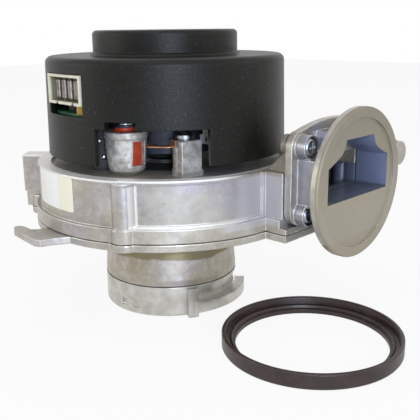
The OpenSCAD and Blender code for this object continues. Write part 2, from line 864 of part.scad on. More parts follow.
module impeller_backplate() {
    color("lightgray") difference() {
        union() {
            rod(wheel_r, plate_z, plate_z + sheet_t);
            translate([0, 0, hub_z + 2]) cylinder(r1 = 8, r2 = 10, h = 5.5);
            rod(8, hub_z, hub_z + 2 + e);
            rod(7.5, plate_z, plate_z + 2.6);
        }
        rod(shaft_r, 50, 80);
    }
}

module impeller_blades() {
    arc_at = 30;
    arc_r = 32;
    color("lightgray") for (i = [0 : blades - 1]) rotate(360 * i / blades)
        translate([0, 0, shroud_z + sheet_t]) linear_extrude(plate_z - shroud_z - sheet_t) intersection() {
            difference() {
                circle(wheel_r - 0.4);
                circle(eye_r + 1.4);
            }
            translate([arc_at, 0]) difference() {
                circle(arc_r);
                circle(arc_r - blade_t);
            }
            translate([0, -60]) square([60, 60]);
        }
}

module impeller_shroud() {
    color("lightgray") rotate_extrude() polygon([
        [eye_r - 1.2, 47.2], [eye_r, 47.2], [eye_r + 0.2, 48.6], [eye_r + 1.2, shroud_z], [wheel_r, shroud_z],
        [wheel_r, shroud_z + sheet_t], [eye_r + 0.6, shroud_z + sheet_t], [eye_r - 0.9, 49.6]]);
}

module impeller_nut() {
    color("gainsboro") difference() {
        union() {
            translate([0, 0, 51.4]) cylinder(r = 5.8, h = 3.8, $fn = 6);
            rod(6.4, 55.2 - e, hub_z);
        }
        rod(3, 40, 60);
    }
}

module seal_ring() {
    ro = seal_r;
    color([0.22, 0.16, 0.14]) translate(seal_at) rotate_extrude() polygon([
        [ro - 5.8, 0], [ro - 0.4, 0], [ro, 0.6], [ro, seal_h - 0.5], [ro - 0.4, seal_h], [ro - 1.4, seal_h],
        [ro - 1.8, seal_h - 0.5], [ro - 2.1, 3.4], [ro - 3.6, 3.1], [ro - 3.9, 3.6], [ro - 4.4, 3.6],
        [ro - 4.7, 2.4], [ro - 5.8, 1.8]]);
}

upper_housing();
lower_cover();
bayonet_ring();
inlet_nozzle();
housing_gasket();
cover_screws();
outlet_gasket();
outlet_adapter();
adapter_screws();
shaft_seal();
isolator_grommets();
isolator_sleeves();
isolator_screws();
earth_strap();
earth_screw();
motor_bracket();
lower_bearing_outer();
stator_core();
slot_insulators();
stator_coils();
upper_bracket();
upper_bearing_outer();
motor_bolts();
board_pillars();
circuit_board();
control_header();
header_contacts();
filter_choke();
capacitors();
heat_sink();
power_transistors();
driver_chip();
motor_cap();
shaft();
rotor_core();
rotor_magnets();
lower_bearing_inner();
upper_bearing_inner();
impeller_backplate();
impeller_blades();
impeller_shroud();
impeller_nut();
lower_bearing_cage();
upper_bearing_cage();
seal_ring();
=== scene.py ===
# %% [markdown]
# # A boiler's premix fan
# The finished object is a fan that draws air and gas through the collar underneath, and blows them out
# of the round disc at the side. The CAD gives every part its true size and place. This file gives each
# part its surface, adds the small things that only the eye needs, and lights them.

# %% Load the frame
import bpy
import bmesh
import json
import math
from mathutils import Euler, Matrix, Vector


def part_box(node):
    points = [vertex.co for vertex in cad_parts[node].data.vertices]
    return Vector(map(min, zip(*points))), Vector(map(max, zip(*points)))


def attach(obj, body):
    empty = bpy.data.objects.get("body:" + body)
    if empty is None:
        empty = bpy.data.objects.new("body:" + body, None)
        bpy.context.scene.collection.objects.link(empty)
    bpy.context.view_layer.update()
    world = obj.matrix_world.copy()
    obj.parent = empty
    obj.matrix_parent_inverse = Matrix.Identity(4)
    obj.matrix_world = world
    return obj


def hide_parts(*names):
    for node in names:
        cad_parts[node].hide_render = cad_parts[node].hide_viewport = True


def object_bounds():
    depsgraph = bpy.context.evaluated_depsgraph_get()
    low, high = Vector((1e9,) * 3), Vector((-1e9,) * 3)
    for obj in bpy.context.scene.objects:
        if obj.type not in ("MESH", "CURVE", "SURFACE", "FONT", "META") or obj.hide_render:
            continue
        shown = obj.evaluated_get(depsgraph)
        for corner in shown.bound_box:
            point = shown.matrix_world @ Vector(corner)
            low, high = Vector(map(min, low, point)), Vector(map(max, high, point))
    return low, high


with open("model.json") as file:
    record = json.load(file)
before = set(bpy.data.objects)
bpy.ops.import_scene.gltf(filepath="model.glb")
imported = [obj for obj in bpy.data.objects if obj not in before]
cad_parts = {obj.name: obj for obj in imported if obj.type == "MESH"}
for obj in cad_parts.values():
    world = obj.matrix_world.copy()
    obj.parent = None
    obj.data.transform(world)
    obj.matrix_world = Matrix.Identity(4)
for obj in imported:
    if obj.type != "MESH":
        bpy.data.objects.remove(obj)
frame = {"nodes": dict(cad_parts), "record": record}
nodes = frame["nodes"]
cad_low, cad_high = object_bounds()
print("nodes:", len(nodes), "CAD box:", [round(v, 4) for v in cad_low], [round(v, 4) for v in cad_high])

# %% [markdown]
# The camera stands a little above the fan's shoulder, near enough for the far side to look smaller.
# Its turn is three angles in degrees: how far it is tilted up from looking straight down, how far it
# leans, and which way it looks round the fan. They are exact, where a tracking constraint would need a
# target object of its own.

# %% Camera
CAMERA_PLACE = Vector((0.23867, -0.22273, 0.13105))
CAMERA_TILT, CAMERA_LEAN, CAMERA_HEADING = 74.821, 0.662, 43.302
CAMERA_LENS, SENSOR_WIDTH = 58.24, 36.0
CLIP_NEAR, CLIP_FAR = 0.01, 20.0

camera = bpy.data.objects.new("camera", bpy.data.cameras.new("camera"))
bpy.context.scene.collection.objects.link(camera)
bpy.context.scene.camera = camera
camera.data.lens = CAMERA_LENS
camera.data.sensor_width = SENSOR_WIDTH
camera.data.clip_start, camera.data.clip_end = CLIP_NEAR, CLIP_FAR
camera_turn = Euler([math.radians(angle) for angle in (CAMERA_TILT, CAMERA_LEAN, CAMERA_HEADING)])
camera.matrix_world = Matrix.LocRotScale(CAMERA_PLACE, camera_turn, None)
print("camera stands", round(CAMERA_PLACE.length, 3), "m from the fan's origin")

# %% [markdown]
# Shader nodes are quicker to read as sums than as boxes and wires. The class below wraps one output of
# a node. Python's own operators on it add Math nodes, so `1 - mask * 0.5` is written as it is said. The
# function after it adds any other node.

# %% A socket that does arithmetic
class Value:
    def __init__(self, tree, socket):
        self.tree = tree
        self.socket = socket

    def arithmetic(self, operation, *values):
        return add(self.tree, "ShaderNodeMath", {"operation": operation}, dict(enumerate(values)))

    def __add__(self, other):
        return self.arithmetic("ADD", self, other)

    def __mul__(self, other):
        return self.arithmetic("MULTIPLY", self, other)

    def __sub__(self, other):
        return self.arithmetic("SUBTRACT", self, other)

    def __rsub__(self, other):
        return self.arithmetic("SUBTRACT", other, self)

    __radd__, __rmul__ = __add__, __mul__


def add(tree, kind, settings=None, sockets=None, out=0):
    """Adds one node: its settings first, then the values or links of its sockets."""
    node = tree.nodes.new(kind)
    for name, setting in (settings or {}).items():
        if name == "stops":
            ramp = node.color_ramp
            while len(ramp.elements) < len(setting):
                ramp.elements.new(0.5)
            for element, (place, colour) in zip(ramp.elements, setting):
                element.position, element.color = place, colour
        else:
            setattr(node, name, setting)
    for name, value in (sockets or {}).items():
        if isinstance(value, Value):
            tree.links.new(value.socket, node.inputs[name])
        else:
            node.inputs[name].default_value = value
    return Value(tree, node.outputs[out])


# %% [markdown]
# Colours are written in 0 to 255, as a screen shows them, and turned to the linear light that a
# renderer works in. Every pattern reads Object coordinates, because the CAD's meshes have no UV map, so
# a size in a pattern is a real size in metres.

# %% Colours and patterns
def light(level):
    level = level / 255
    return level / 12.92 if level <= 0.04045 else ((level + 0.055) / 1.055) ** 2.4


def rgb(red, green, blue):
    return (light(red), light(green), light(blue), 1.0)


print("mid grey, 128 of 255, is", round(light(128), 3), "in linear light")

# %% [markdown]
# A finish is one material. Its helpers are the few patterns that most finishes share: noise, masks for
# a band or a box, a blend of two colours, and two uses of the Bevel node, which finds corners.

# %% A finish and its patterns
class Finish:
    """One material, its Principled shader, and the patterns that feed it."""

    def __init__(self, name):
        self.material = bpy.data.materials.new(name)
        self.material.use_nodes = True
        self.tree = self.material.node_tree
        self.shader = self.tree.nodes["Principled BSDF"]
        self.place = add(self.tree, "ShaderNodeTexCoord", out="Object")

    def node(self, kind, settings=None, sockets=None, out=0):
        return add(self.tree, kind, settings, sockets, out)

    def set(self, **sockets):
        for name, value in sockets.items():
            socket = self.shader.inputs[name.replace("_", " ")]
            if isinstance(value, Value):
                self.tree.links.new(value.socket, socket)
            else:
                socket.default_value = value

    def noise(self, size, detail=3.0, roughness=0.55, seed=0.0):
        """Cloudy noise from 0 to 1, whose lumps are about `size` metres across."""
        sockets = {"Vector": self.place, "W": seed, "Scale": 1 / size, "Detail": detail,
                   "Roughness": roughness}
        return self.node("ShaderNodeTexNoise", {"noise_dimensions": "4D"}, sockets)

    def between(self, value, low, high):
        """0 below low, 1 above high, and a smooth step between them."""
        sockets = {"Value": value, "From Min": low, "From Max": high}
        return self.node("ShaderNodeMapRange", {"interpolation_type": "SMOOTHSTEP"}, sockets)

    def patches(self, size, low, high, seed, detail=3.0, roughness=0.55):
        """Noise cut into patches: 0 where it is below low, 1 where it is above high."""
        return self.between(self.noise(size, detail, roughness, seed), low, high)

    def fine_grain(self):
        return self.noise(0.0006, 2.0, 0.6, 1.0)

    def blend(self, factor, first, second):
        """first where factor is 0, second where it is 1. A Mix node has its colours at 6 and 7."""
        return self.node("ShaderNodeMix", {"data_type": "RGBA"}, {0: factor, 6: first, 7: second}, out=2)

    def bump(self, height, depth, strength, base=None):
        sockets = {"Height": height, "Distance": depth, "Strength": strength}
        if base is not None:
            sockets["Normal"] = base
        return self.node("ShaderNodeBump", {}, sockets)

    def axis(self, name):
        """One coordinate of the surface, in metres."""
        return self.node("ShaderNodeSeparateXYZ", {}, {0: self.place}, name)

    def band(self, low, high, soft, name="Z"):
        """1 between two places along an axis, and 0 outside them."""
        place = self.axis(name)
        return self.between(place, low - soft, low) * (1 - self.between(place, high, high + soft))

    def inside(self, low, high, soft):
        """1 inside a box, and 0 outside it."""
        sides = [self.band(a, b, soft, name) for a, b, name in zip(low, high, "XYZ")]
        return sides[0] * sides[1] * sides[2]

    def worn_and_lit_edge(self, radius):
        """0 on a flat face, rising to 1 at an outside or inside corner."""
        rounded = self.node("ShaderNodeBevel", {"samples": 6}, {"Radius": radius})
        flat = self.node("ShaderNodeNewGeometry", out="Normal")
        settings = {"operation": "DOT_PRODUCT"}
        alike = self.node("ShaderNodeVectorMath", settings, {0: rounded, 1: flat}, "Value")
        return self.between(1 - alike, 0.002, 0.12)

    def soft_edge(self, radius):
        """The surface's direction with its corners rounded off, for a cast or moulded edge."""
        return self.node("ShaderNodeBevel", {"samples": 6}, {"Radius": radius})


# %% [markdown]
# The castings are aluminium pressed into a steel die. Some of their tones belong to one place: the inside of
# the outlet, which is painted shade and painted reflection in blue; the turned face of the disc, painted
# darker towards its top as shade; an olive band under the parting rim; the dark ring on the deck round the
# shaft, which is painted shade; and the bright lines beside and under the wall's panel, which are painted
# highlights. An image painted by hand could hold them, but it would need a UV map, so each place is a box or
# a band here. A box is given by its lowest and highest corner in metres, the heights of deck, collar, olive
# band and disc start from the CAD's parts, and a mask is 1 at its place and 0 everywhere else.

# %% Places on the castings
DECK_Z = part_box("shaft_seal")[1].z - 0.0013
RECESS_Z = DECK_Z - 0.0015
COLLAR_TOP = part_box("bayonet_ring")[1].z
FACE_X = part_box("outlet_adapter")[1].x - 0.0013
OLIVE_BAND_Z = (0.0274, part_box("cover_screws")[0].z - 0.0002)
NECK_X = (0.0752, 0.0842)
DUCT_FADE_X = (0.055, 0.060)
SHAFT_RING, RIM_RING = (0.030, 0.034), (0.050, 0.052)
PORT = ((0.0712, 0.0128, 0.0583), (0.0871, 0.0557, 0.0846))
DUCT = ((0.040, 0.0030, 0.0450), (0.0708, 0.0600, 0.0672))
PANEL = ((0.0332, -0.064, 0.0515), (0.075, 0.0, 0.0708))
PATCH = ((0.0590, -0.040, 0.0490), (0.0712, 0.005, 0.0690))
SIDE_LINE = ((0.0332, -0.066, 0.0520), (0.0338, -0.045, 0.0690))
FOOT_LINE = ((0.0332, -0.066, 0.0512), (0.060, -0.010, 0.0524))
print("deck at", round(DECK_Z, 4), "collar up to", round(COLLAR_TOP, 4), "disc's face from", round(FACE_X, 4))


def casting_places(f):
    """Masks of the places that look unlike the rest of the casting."""
    height, along = f.axis("Z"), f.axis("X")
    flat = f.node("ShaderNodeCombineXYZ", {}, {0: along, 1: f.axis("Y")})
    from_shaft = f.node("ShaderNodeVectorMath", {"operation": "LENGTH"}, {0: flat}, "Value")
    off_duct = 1 - f.between(along, *DUCT_FADE_X)
    wander = (f.noise(0.012, 2.0, 0.5, 15.0) - 0.5) * 0.004
    # An olive band, darker than the metal round it, runs just under the parting rim.
    olive_lower_edge = f.between(height + wander, OLIVE_BAND_Z[0] - 0.0006, OLIVE_BAND_Z[0] + 0.0006)
    rim = f.band(DECK_Z - 0.0007, DECK_Z + 0.0002, 0.0003) * off_duct
    deck_only = f.band(RECESS_Z - 0.0010, DECK_Z + 0.0003, 0.0003)
    return {
        "port": f.inside(*PORT, 0.0004) + f.inside(*DUCT, 0.0004),
        "port_depth": f.between(along, PORT[0][0] - 0.012, PORT[1][0]),
        "port_floor": 1 - f.between(height, PORT[0][2] + 0.0004, PORT[0][2] + 0.0016),
        "face": f.between(along, FACE_X, FACE_X + 0.0001),
        "neck": f.band(*NECK_X, 0.0006, "X"),
        "olive": olive_lower_edge * (1 - f.between(height, OLIVE_BAND_Z[1] - 0.0004, OLIVE_BAND_Z[1])),
        "collar": 1 - f.between(height, COLLAR_TOP, COLLAR_TOP + 0.0003),
        "deck": f.between(height, RECESS_Z - 0.0007, RECESS_Z - 0.0001) * off_duct,
        "stand": f.between(height, DECK_Z + 0.0002, DECK_Z + 0.0008),
        "rim": rim * f.between(from_shaft, *RIM_RING),
        "shaft": (1 - f.between(from_shaft, *SHAFT_RING)) * deck_only,
        "panel": f.inside(*PANEL, 0.0012),
        "patch": f.inside(*PATCH, 0.0015),
        "lines": f.inside(*SIDE_LINE, 0.0003) + f.inside(*FOOT_LINE, 0.0003),
    }


# %% [markdown]
# Away from those places the skin comes out smooth and a little cloudy, with warm grey stains, faint purple
# from heat, bright flow marks and dark specks. Its edges are paler, partly polished by the tumbling barrel
# and partly painted highlight. Stains on metal change its base colour, so the colour is built as a painter
# glazes: one layer over another, each with how much of it shows and its colour. The outlet's blue, which is
# painted shade and reflection, and the turned face come last.

# %% Colour of the castings
def casting_colour(f, at, cloud, edge, hammered):
    # Painted shade and painted reflection: the outlet's inside is dark blue deep inside, paler blue towards
    # its mouth, and darker on its floor.
    outlet_shade_blue = f.blend(at["port_depth"], rgb(64, 68, 84), rgb(140, 150, 182))
    outlet_shade_blue = f.blend(at["port_floor"] * 0.75, outlet_shade_blue, rgb(78, 80, 78))
    outlet_shade_blue = f.blend(f.between(cloud, 0.4, 0.7) * 0.5, outlet_shade_blue, rgb(112, 122, 152))
    # The turned face is painted darker towards its top, as shade.
    turned_face_shaded = f.blend(f.between(f.axis("Z"), 0.045, 0.096), rgb(153, 144, 125), rgb(130, 121, 103))
    # Painted light: the cups and posts on the deck get a pale, mottled sand tone, so that they look lit in
    # the cap's shade.
    sand_and_light = f.blend(f.between(hammered, 0.35, 0.65), rgb(164, 160, 150), rgb(212, 209, 205))
    layers = [
        (f.patches(0.011, 0.55, 0.60, 21.0, 5.0, 0.65) * 0.22, rgb(118, 112, 102)),
        (f.patches(0.040, 0.48, 0.66, 3.0) * 0.6, rgb(152, 140, 118)),
        (f.patches(0.028, 0.47, 0.62, 7.0, 3.0, 0.6) * (0.3 + at["panel"] * 0.2), rgb(158, 156, 178)),
        (f.patches(0.0045, 0.42, 0.66, 9.0, 4.0, 0.7) * 0.25, rgb(214, 212, 208)),
        (at["olive"] * 0.85, rgb(116, 106, 72)),
        (f.patches(0.0016, 0.60, 0.72, 5.0, 2.0, 0.6) * 0.25, rgb(110, 104, 96)),
        # Painted shade: the deck and everything on it are darkened a little, as in the shade of the cap.
        (at["deck"] * 0.35, rgb(150, 146, 138)),
        # Painted light: the cups and posts on the deck are pale.
        (at["deck"] * at["stand"] * 0.85, sand_and_light),
        # Painted shade: the wall's panel is a little darker, to hold back the front lamp's highlight on it.
        (at["panel"] * 0.3, rgb(142, 141, 145)),
        # Painted shade: the deck round the shaft is nearly black, as under the motor's parts above it.
        (at["shaft"] * 0.85, rgb(30, 32, 36)),
        # Painted highlights: bright lines along the deck's rim, and beside and under the wall's panel.
        (at["rim"] * 0.7 + at["lines"] * 0.6, rgb(238, 236, 232)),
        # Painted highlight: a bright, slightly blue patch on the near wall of the outlet's duct.
        (at["patch"] * 0.5, rgb(204, 204, 212)),
        (at["collar"] * 0.6, rgb(132, 128, 122)),
        # Painted reflection: bluish patches on the outlet's neck, between the flange and the disc.
        (at["neck"] * f.between(cloud, 0.35, 0.6) * 0.75, rgb(128, 134, 158)),
        # The corners are paler: partly edges polished by the tumbling barrel, partly painted highlight.
        (edge * 0.7, rgb(236, 234, 228)),
        (at["port"] * 0.95, outlet_shade_blue),
        (at["face"] * 0.9, turned_face_shaded),
    ]
    base = f.blend(f.between(cloud, 0.3, 0.7), rgb(158, 151, 138), rgb(184, 179, 168))
    for amount, colour in layers:
        base = f.blend(amount, base, colour)
    print("the casting's colour has", len(layers), "layers")
    return base


# %% [markdown]
# The surface under the colour: a broad ripple and a fine grain break up the reflections, and a Bevel
# node rounds the corners for the light, because a cast edge is never sharp. The cups and posts that
# stand on the deck are rougher. Oxide and dirt dull the metal, so Metallic stays under 1.

# %% Cast aluminium
def cast_aluminium():
    f = Finish("cast_aluminium")
    at = casting_places(f)
    cloud = f.noise(0.020, 4.0, 0.6)
    hammered = f.noise(0.0024, 3.0, 0.6, 17.0)
    edge = f.worn_and_lit_edge(0.0009) * f.patches(0.007, 0.3, 0.65, 13.0, 2.0, 0.5)
    normal = f.bump(f.noise(0.0007, 3.0, 0.65), 0.00005, 0.5, f.soft_edge(0.0007))
    normal = f.bump(f.noise(0.006, 2.0, 0.5, 2.0), 0.00030, 0.7, normal)
    normal = f.bump(hammered * at["deck"], 0.00030, 0.6, normal)
    low_deck = at["deck"] - at["deck"] * at["stand"]
    rough = 0.30 + cloud * 0.2 - edge * 0.08 + at["panel"] * 0.08
    rough = rough + low_deck * 0.08 - at["neck"] * 0.10 + at["face"] * 0.14
    metallic = 0.75 - at["face"] * 0.35 - at["port"] * 0.45 - at["deck"] * 0.25
    colour = casting_colour(f, at, cloud, edge, hammered)
    f.set(Base_Color=colour, Metallic=metallic, Roughness=rough, Normal=normal)
    return f.material


# %% [markdown]
# The cap is a black plastic, moulded with a fine spark-eroded texture. It reflects the room as one wide,
# soft, slightly blue sheen, and its fine grain and small smoother flecks sparkle a little; pale flecks in its
# colour are painted glints. A lower specular level keeps the black deep, and it is set on the shader's own
# socket because it is the same everywhere.

# %% Black moulded plastic
def black_plastic():
    f = Finish("cap_plastic")
    grain = f.noise(0.0007, 3.0, 0.7)
    fleck_and_glint = f.patches(0.0010, 0.62, 0.70, 8.0, 1.0, 0.5)
    base = f.blend(f.between(grain, 0.35, 0.75), rgb(15, 14, 9), rgb(23, 22, 17))
    base = f.blend(f.patches(0.03, 0.45, 0.75, 4.0, 3.0, 0.5) * 0.4, base, rgb(24, 24, 26))
    # Painted glints: pale bluish flecks in the colour.
    base = f.blend(fleck_and_glint * 0.35, base, rgb(60, 61, 70))
    normal = f.bump(grain, 0.00014, 0.9, f.soft_edge(0.0006))
    f.set(Base_Color=base, Roughness=0.32 + grain * 0.12 - fleck_and_glint * 0.08, Normal=normal,
          Specular_IOR_Level=0.2)
    return f.material


# %% [markdown]
# The small finishes follow the same recipe: a colour that wanders a little, a roughness that wanders
# with it, and a bump at the size of the real grain. One function takes those as values, so that each
# finish is one line.

# %% A general finish
def plain_finish(name, dark, pale, metallic, rough, cloud_size=0.006, edge=0.0004):
    f = Finish(name)
    cloud = f.noise(cloud_size)
    base = f.blend(f.between(cloud, 0.3, 0.7), rgb(*dark), rgb(*pale))
    normal = f.bump(f.fine_grain(), 0.00003, 0.7, f.soft_edge(edge))
    f.set(Base_Color=base, Metallic=metallic, Roughness=rough - 0.08 + cloud * 0.16, Normal=normal)
    return f.material


# %% [markdown]
# The circuit board has green lacquer with faint tracks on its upper side. The underside is painted
# nearly black here, to match how dark it is between the board and the motor's bracket. One material
# serves both sides: a mask by height picks the side.

# %% Circuit board
board_low, board_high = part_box("circuit_board")
UNDERSIDE_SKIN = 0.0002


def circuit_board_finish():
    f = Finish("circuit_board")
    skin = board_low.z + UNDERSIDE_SKIN
    above = f.between(f.axis("Z"), skin, skin + 2 * UNDERSIDE_SKIN)
    cloud = f.noise(0.008)
    tracks = f.patches(0.0024, 0.50, 0.53, 6.0, 1.0, 0.4)
    lacquer = f.blend(f.between(cloud, 0.3, 0.7), rgb(20, 66, 42), rgb(32, 90, 58))
    lacquer = f.blend(tracks * 0.5, lacquer, rgb(48, 112, 70))
    under = f.blend(f.between(cloud, 0.4, 0.7), rgb(16, 20, 18), rgb(26, 32, 27))
    normal = f.bump(tracks, 0.00004, 0.6, f.soft_edge(0.0003))
    f.set(Base_Color=f.blend(above, under, lacquer), Roughness=0.34 + cloud * 0.14, Normal=normal)
    return f.material


print("board:", round((board_high.z - board_low.z) * 1000, 2), "mm thick")

# %% [markdown]
# The plug is moulded in cream nylon. It faces outwards at its own angle, so how deep a point lies in its
# mouth is measured along that direction, with a dot product, and the inside of the mouth is painted darker,
# as shade.

# %% Plug
PLUG_TURN = math.radians(-96)
PLUG_FRONT = 0.0546


def header_finish():
    f = Finish("ivory_plastic")
    toward = (math.cos(PLUG_TURN), math.sin(PLUG_TURN), 0)
    reach = f.node("ShaderNodeVectorMath", {"operation": "DOT_PRODUCT"}, {0: f.place, 1: toward}, "Value")
    mouth = 1 - f.between(reach, PLUG_FRONT - 0.0016, PLUG_FRONT - 0.0004)
    cloud = f.noise(0.006)
    base = f.blend(f.between(cloud, 0.3, 0.7), rgb(206, 200, 176), rgb(222, 216, 196))
    # Painted shade: darker inside the mouth.
    base = f.blend(mouth * 0.85, base, rgb(92, 86, 54))
    normal = f.bump(f.fine_grain(), 0.00003, 0.7, f.soft_edge(0.0004))
    f.set(Base_Color=base, Roughness=0.38 + cloud * 0.16, Normal=normal)
    return f.material


# %% [markdown]
# The earth strap is a bent strip of copper. Its ring is tinned, so it is grey under the screw and
# copper beyond: the distance from the top of the post, where screw and strap meet, makes the mask.

# %% Earth strap
screw_low, screw_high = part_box("earth_screw")
EARTH_POST = (screw_low + screw_high) / 2
EARTH_POST.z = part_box("earth_strap")[1].z - 0.0005
TINNED_RADIUS = (0.0058, 0.0070)


def strap_finish():
    f = Finish("earth_strap_copper")
    apart = f.node("ShaderNodeVectorMath", {"operation": "DISTANCE"}, {0: f.place, 1: EARTH_POST}, "Value")
    tinned = 1 - f.between(apart, *TINNED_RADIUS)
    cloud = f.noise(0.004)
    base = f.blend(f.between(cloud, 0.3, 0.7), rgb(178, 116, 78), rgb(206, 150, 112))
    base = f.blend(tinned * 0.9, base, rgb(112, 110, 112))
    normal = f.bump(f.fine_grain(), 0.00003, 0.7, f.soft_edge(0.0003))
    f.set(Base_Color=base, Metallic=0.8, Roughness=0.28 + cloud * 0.14, Normal=normal)
    return f.material


print("earth post at", [round(v, 4) for v in EARTH_POST])

# %% [markdown]
# Every material slot of the record gets one finish: dark colour, pale colour, how metallic, how rough.
# The CAD's nodes keep their meshes and only change their material. The strap shares its slot with the
# coils, so its own finish is put on it afterwards.

# %% Give each CAD part its finish
FINISHES = {
    "casting": cast_aluminium(),
    "cap_plastic": black_plastic(),
    "machined": plain_finish("machined_aluminium", (176, 172, 164), (200, 197, 190), 0.9, 0.34),
    "sheet_alu": plain_finish("sheet_aluminium", (180, 180, 178), (206, 206, 204), 1.0, 0.3),
    "dark_bracket": plain_finish("dark_bracket", (28, 34, 48), (46, 54, 72), 0.35, 0.42),
    "isolator_rubber": plain_finish("isolator_rubber", (178, 52, 22), (206, 78, 40), 0.0, 0.5),
    "seal_rubber": plain_finish("seal_rubber", (34, 22, 19), (52, 35, 30), 0.0, 0.40),
    "gasket": plain_finish("gasket", (30, 30, 30), (48, 48, 46), 0.0, 0.8),
    "zinc": plain_finish("zinc_plate", (150, 156, 166), (190, 194, 200), 1.0, 0.3),
    "steel": plain_finish("bright_steel", (170, 170, 168), (200, 200, 198), 1.0, 0.25),
    "laminations": plain_finish("laminations", (90, 90, 94), (120, 120, 122), 0.8, 0.45),
    "magnet": plain_finish("magnet", (44, 44, 46), (62, 62, 64), 0.3, 0.5),
    "copper": plain_finish("copper", (184, 104, 62), (214, 140, 96), 1.0, 0.3),
    "board": circuit_board_finish(),
    "ivory": header_finish(),
    "dark_plastic": plain_finish("dark_plastic", (30, 30, 32), (46, 46, 48), 0.0, 0.5),
    "sleeve": plain_finish("blue_sleeve", (32, 44, 70), (44, 58, 88), 0.0, 0.35),
    "yellow_tape": plain_finish("yellow_tape", (128, 96, 18), (158, 122, 34), 0.0, 0.4),
    "cage": plain_finish("bearing_cage", (180, 180, 178), (206, 206, 204), 1.0, 0.22),
}

slot_of = {part["node"]: part["material_slot"] for part in frame["record"]["subparts"]}
for name, part in nodes.items():
    part.data.materials.clear()
    part.data.materials.append(FINISHES[slot_of[name]])
nodes["earth_strap"].data.materials[0] = strap_finish()
print("finishes:", sorted(set(slot_of.values())))

# %% [markdown]
# Every added piece ends the same way: a plain mesh at the origin, a finish, and a body to ride on. The finish
# is the one given, or else the one of the record's slot. All the pieces below belong to the part of the fan
# that stands still. Smooth shading up to an angle keeps round things round and flat things flat.

# %% Adding a piece
SMOOTH_ANGLE = math.radians(40)
STILL_BODY = "fan_body"


def new_object(name, mesh):
    thing = bpy.data.objects.new(name, mesh)
    bpy.context.scene.collection.objects.link(thing)
    return thing


def add_piece(name, mesh, slot, finish=None):
    thing = new_object(name, mesh)
    mesh.materials.clear()
    mesh.materials.append(finish or FINISHES[slot])
    mesh.shade_smooth()
    mesh.set_sharp_from_angle(angle=SMOOTH_ANGLE)
    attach(thing, STILL_BODY)
    print(name, "has", len(mesh.polygons), "faces and rides on", STILL_BODY)
    return thing


def from_bmesh(name, build):
    mesh = bpy.data.meshes.new(name)
    bm = bmesh.new()
    build(bm)
    bmesh.ops.recalc_face_normals(bm, faces=bm.faces)
    bm.to_mesh(mesh)
    bm.free()
    return mesh


# %% [markdown]
# Geometry Nodes make what repeats. Each tree is built here from a list of named inputs, so a size can be
# changed without touching the nodes. A small class keeps the building short: it adds a node, sets it,
# links it, and hands back its output. The tree always ends by making its copies real and giving them
# their finish, and the result is kept as a plain mesh, because an exporter drops live copies.

# %% Building a node tree for shapes
class Shape:
    """A Geometry Nodes tree with named inputs, which ends as one plain mesh."""

    def __init__(self, name, inputs):
        self.name = name
        self.tree = bpy.data.node_groups.new(name, "GeometryNodeTree")
        self.tree.interface.new_socket("Geometry", in_out="OUTPUT", socket_type="NodeSocketGeometry")
        self.values = {}
        for label, value in inputs.items():
            kind = "NodeSocketInt" if isinstance(value, int) else "NodeSocketFloat"
            socket = self.tree.interface.new_socket(label, in_out="INPUT", socket_type=kind)
            self.values[socket.identifier] = value
        entry = self.tree.nodes.new("NodeGroupInput")
        self.inputs = {label: Value(self.tree, entry.outputs[label]) for label in inputs}

    def node(self, kind, settings, sockets=None):
        return add(self.tree, kind, settings, sockets)

    def place(self, x=0.0, y=0.0, z=0.0):
        return self.node("ShaderNodeCombineXYZ", {}, {"X": x, "Y": y, "Z": z})

    def moved(self, shape, where, turn):
        sockets = {"Geometry": shape, "Translation": where, "Rotation": turn}
        return self.node("GeometryNodeTransform", {}, sockets)

    def joined(self, *shapes):
        """Joins shapes. A Join Geometry node takes many links in one socket."""
        join = self.tree.nodes.new("GeometryNodeJoinGeometry")
        for shape in reversed(shapes):
            self.tree.links.new(shape.socket, join.inputs[0])
        return Value(self.tree, join.outputs[0])

    def copies(self, points, shape, turn=None):
        sockets = {"Points": points, "Instance": shape}
        if turn is not None:
            sockets["Rotation"] = turn
        return self.node("GeometryNodeInstanceOnPoints", {}, sockets)

    def mesh(self, shape, material):
        real = self.node("GeometryNodeRealizeInstances", {}, {0: shape})
        painted = self.node("GeometryNodeSetMaterial", {}, {"Geometry": real, "Material": material})
        end = self.tree.nodes.new("NodeGroupOutput")
        self.tree.links.new(painted.socket, end.inputs[0])
        host = new_object(self.name + ".host", bpy.data.meshes.new(self.name + ".host"))
        modifier = host.modifiers.new(self.name, "NODES")
        modifier.node_group = self.tree
        for identifier, value in self.values.items():
            modifier[identifier] = value
        bpy.context.view_layer.update()
        shown = host.evaluated_get(bpy.context.evaluated_depsgraph_get())
        mesh = bpy.data.meshes.new_from_object(shown)
        host.modifiers.remove(modifier)
        bpy.data.objects.remove(host)
        mesh.name = self.name
        return mesh


# %% [markdown]
# The stator's teeth carry coils of enamelled copper wire, wound in layers over yellow end pieces. One
# turn is a rounded rectangle swept by the wire's round section. The turns of a layer stand side by side
# along the tooth, the layers lie on each other, and the teeth stand in a circle, so a row of turns in
# each layer and a turned copy for each tooth make all six coils. A single long helix would be truer,
# but it needs many more points for the same look. The CAD's plain blocks are hidden.

# %% Coils
TEETH, LAYERS = 6, 4
TOOTH_HALF, TOOTH_GAP, COIL_START = 0.00325, 0.0010, 0.0174
COIL_OVERHANG, CORNER_RADIUS, TURN_STEP = 0.0012, 0.0012, 2.06
core_low, core_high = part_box("stator_core")
core_middle = (core_high.z + core_low.z) / 2
inner_width = (TOOTH_HALF + TOOTH_GAP) * 2
inner_height = core_high.z - core_low.z + COIL_OVERHANG * 2

